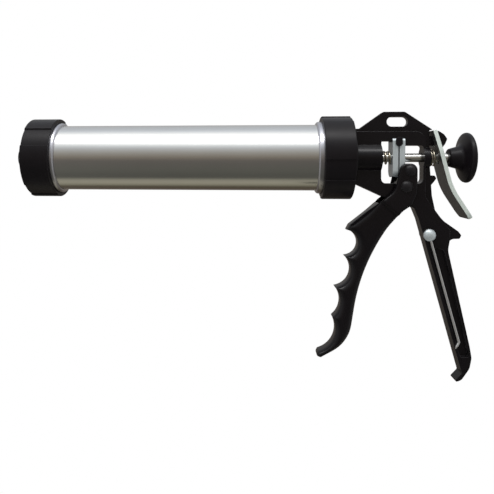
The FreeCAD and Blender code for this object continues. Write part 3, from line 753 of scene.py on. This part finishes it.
def cut_away(body, cutters):
    """Cuts the shapes of the cutters out of the body and removes them."""
    for cutter in cutters:
        cut = body.modifiers.new(cutter.name, "BOOLEAN")
        cut.operation = "DIFFERENCE"
        cut.solver = "EXACT"
        cut.object = cutter
    bpy.context.view_layer.update()
    cut_shape = body.evaluated_get(bpy.context.evaluated_depsgraph_get())
    mesh = bpy.data.meshes.new_from_object(cut_shape)
    body.modifiers.clear()
    body.data = mesh
    for cutter in cutters:
        bpy.data.objects.remove(cutter)


def moulded_trigger():
    """Rounded finger lever with its frame slot and both pin holes."""
    node = frame["nodes"]["trigger_lever"]
    pivot = middle_of("pivot_rivet")
    push = middle_of("push_pin")
    trigger = add_object("moulded_trigger", moulded_body(node, pivot))
    cut_away(trigger, [
        pin_cutter("slot", pivot, SLOT_R, SLOT_HALF),
        pin_cutter("pivot hole", pivot, PIVOT_HOLE_R, CHEEK_HALF + HOLE_OVERRUN),
        pin_cutter("push hole", push, PUSH_HOLE_R, CHEEK_HALF + HOLE_OVERRUN),
    ])
    trigger.data.shade_smooth()
    trigger.data.set_sharp_from_angle(angle=SHARP_EDGE)
    trigger.data.materials.append(FINISHES["black_cast"])
    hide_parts("trigger_lever")
    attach(trigger, "trigger")


# ---- studio --------------------------------------------------------------------

# Degrees above the horizon ahead, more than 90 behind the gun, and the light from there.
STUDIO_BANDS = (
    (-180, (0.30, 0.27, 0.24)),
    (-139, (0.08, 0.065, 0.05)),
    (-122, (0.10, 0.085, 0.06)),
    (-112, (0.26, 0.25, 0.19)),
    (-98, (0.36, 0.34, 0.27)),
    (-86, (0.32, 0.31, 0.25)),
    (-76, (0.085, 0.085, 0.075)),
    (-45, (0.115, 0.115, 0.10)),
    (-10, (0.13, 0.12, 0.11)),
    (0, (0.22, 0.19, 0.155)),
    (18, (0.37, 0.36, 0.33)),
    (33, (0.55, 0.57, 0.59)),
    (45, (0.85, 0.90, 0.94)),
    (52, (1.3, 1.32, 1.34)),
    (90, (1.3, 1.32, 1.34)),
    (102, (0.85, 0.90, 0.96)),
    (116, (0.62, 0.66, 0.72)),
    (145, (0.54, 0.56, 0.58)),
    (180, (0.30, 0.27, 0.24)),
)
WHOLE_TURN = 360
RAMP_MIDDLE = 0.5          # where the ramp holds the horizon ahead
SIDE_GLOW = (0.5, 0.5, 0.5)
SIDE_FALLOFF = 4.0         # how narrowly the side light stays at the gun's two ends
BACKDROP = (1.0, 1.0, 1.0)

FLOOR_HEIGHT = -0.30
FLOOR_REACH = 4.0
FLOOR_COLOUR = (0.85, 0.85, 0.85)
FLOOR_ROUGHNESS = 0.9

LAMP_PLACE = (0.15, -0.35, 0.75)
LAMP_TARGET = (0.18, 0.0, 0.0)
LAMP_SIZE = (0.9, 0.25)
LAMP_POWER = 4.0

CAMERA_PLACE = (0.1977, -0.4300, -0.0065)
CAMERA_YAW = math.radians(4.49)
CAMERA_PITCH = math.radians(1.0)
CAMERA_ROLL = math.radians(0.06)
LENS = 38.26
SENSOR_WIDTH = 36.0
SHIFT_X = 0.063
SHIFT_Y = -0.146
NEAREST_SEEN = 0.01


def elevation_light(tree, direction):
    """The colour of the studio's light by how high it comes from."""
    ahead = math_node(tree, "MULTIPLY", direction["Y"], -1.0)
    angle = math_node(tree, "ARCTAN2", direction["Z"], ahead)
    turn = math_node(tree, "DIVIDE", angle, 2 * math.pi)
    place = math_node(tree, "ADD", turn, RAMP_MIDDLE)
    ramp = tree.nodes.new("ShaderNodeValToRGB")
    feed(tree, ramp.inputs["Fac"], place)
    elements = ramp.color_ramp.elements
    while len(elements) < len(STUDIO_BANDS):
        elements.new(RAMP_MIDDLE)
    for element, (degrees, colour) in zip(elements, STUDIO_BANDS):
        element.position = degrees / WHOLE_TURN + RAMP_MIDDLE
        element.color = (*colour, 1.0)
    return ramp.outputs["Color"]


def studio_world():
    """Light by elevation: a bright band overhead, dim ahead, a dark floor and a paler strip below."""
    world = bpy.data.worlds.new("studio")
    bpy.context.scene.world = world
    world.use_nodes = True
    tree = world.node_tree
    tree.nodes.clear()
    coords = tree.nodes.new("ShaderNodeTexCoord")
    split = tree.nodes.new("ShaderNodeSeparateXYZ")
    feed(tree, split.inputs[0], coords.outputs["Generated"])
    banded = elevation_light(tree, split.outputs)
    endwise = math_node(tree, "ABSOLUTE", split.outputs["X"])
    sideways = math_node(tree, "POWER", endwise, SIDE_FALLOFF)
    studio = mix_colours(tree, sideways, banded, SIDE_GLOW)
    path = tree.nodes.new("ShaderNodeLightPath")
    shown = mix_colours(tree, path.outputs["Is Camera Ray"], studio, BACKDROP)
    light = tree.nodes.new("ShaderNodeBackground")
    feed(tree, light.inputs["Color"], shown)
    output = tree.nodes.new("ShaderNodeOutputWorld")
    feed(tree, output.inputs["Surface"], light.outputs[0])


def white_sweep():
    """Matt white that takes the object's light and is plain white where it is looked at."""
    material, tree, shader = new_material("white_sweep")
    feed(tree, shader.inputs["Base Color"], FLOOR_COLOUR)
    feed(tree, shader.inputs["Roughness"], FLOOR_ROUGHNESS)
    glow = tree.nodes.new("ShaderNodeEmission")
    path = tree.nodes.new("ShaderNodeLightPath")
    blend = tree.nodes.new("ShaderNodeMixShader")
    feed(tree, blend.inputs["Fac"], path.outputs["Is Camera Ray"])
    feed(tree, blend.inputs[1], shader.outputs[0])
    feed(tree, blend.inputs[2], glow.outputs[0])
    feed(tree, tree.nodes["Material Output"].inputs["Surface"], blend.outputs[0])
    return material


def pale_floor():
    """White sweep that the gun hangs over. It bounces light but isn't mirrored in the metal."""
    mesh = bpy.data.meshes.new("floor")
    signs = [(-1, -1), (1, -1), (1, 1), (-1, 1)]
    corners = [(x * FLOOR_REACH, y * FLOOR_REACH, FLOOR_HEIGHT) for x, y in signs]
    mesh.from_pydata(corners, [], [(0, 1, 2, 3)])
    mesh.materials.append(white_sweep())
    floor = add_object("floor", mesh)
    floor.visible_glossy = False


def overhead_lamp():
    """One wide soft lamp above and in front of the gun."""
    data = bpy.data.lights.new("overhead", "AREA")
    data.shape = "RECTANGLE"
    data.size, data.size_y = LAMP_SIZE
    data.energy = LAMP_POWER
    lamp = add_object("overhead", data)
    lamp.location = LAMP_PLACE
    aim = Vector(LAMP_TARGET) - Vector(LAMP_PLACE)
    lamp.rotation_euler = aim.to_track_quat("-Z", "Y").to_euler()


def place_camera():
    """Nearly level view square to the barrel, from a little behind its middle."""
    data = bpy.data.cameras.new("camera")
    data.lens = LENS
    data.sensor_width = SENSOR_WIDTH
    data.shift_x = SHIFT_X
    data.shift_y = SHIFT_Y
    data.clip_start = NEAREST_SEEN
    camera = add_object("camera", data)
    forward = Vector((
        -math.sin(CAMERA_YAW) * math.cos(CAMERA_PITCH),
        math.cos(CAMERA_YAW) * math.cos(CAMERA_PITCH),
        -math.sin(CAMERA_PITCH),
    ))
    turn = forward.to_track_quat("-Z", "Y").to_matrix()
    camera.location = CAMERA_PLACE
    camera.rotation_euler = (turn @ Matrix.Rotation(CAMERA_ROLL, 3, "Z")).to_euler()
    bpy.context.scene.camera = camera


dress_nodes()
moulded_trigger()
studio_world()
pale_floor()
overhead_lamp()
place_camera()
bpy.context.scene.view_settings.view_transform = "Standard"
